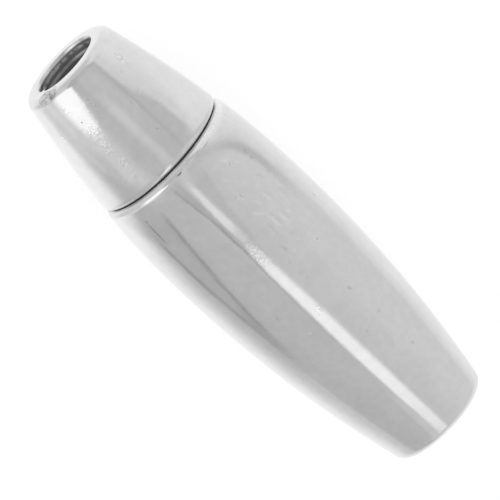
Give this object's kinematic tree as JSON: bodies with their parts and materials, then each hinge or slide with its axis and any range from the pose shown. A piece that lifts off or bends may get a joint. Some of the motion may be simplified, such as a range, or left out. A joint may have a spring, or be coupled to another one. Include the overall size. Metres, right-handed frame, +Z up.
{
  "type": "magnetic clasp",
  "caption": "Polished steel barrel-shaped magnetic clasp whose turned halves meet at a fine seam, with a blind bore in each end for a glued-in round cord.",
  "frame": {"origin": "on the barrel's axis, at the middle of the closed clasp's length", "axes": "+X along the barrel's axis, out of the long half's cord bore; +Z up, with the clasp lying on its side"},
  "size_m": [0.0222, 0.0072, 0.0072],
  "materials": {
    "polished_steel": "polished",
    "nickel_plate": "satin"
  },
  "bodies": {
    "long_half": {"long_shell": "polished_steel"},
    "turning_magnet": {"long_magnet": "nickel_plate"},
    "short_half": {"short_shell": "polished_steel", "short_magnet": "nickel_plate"}
  },
  "joints": [
    {"name": "swivel", "type": "hinge", "parent": "long_half", "child": "turning_magnet", "pos_m": [-0.00337, 0, 0], "axis": [1, 0, 0], "continuous": true},
    {"name": "pull_apart", "type": "slide", "parent": "turning_magnet", "child": "short_half", "axis": [-1, 0, 0], "range_m": [0, 0.005]}
  ]
}
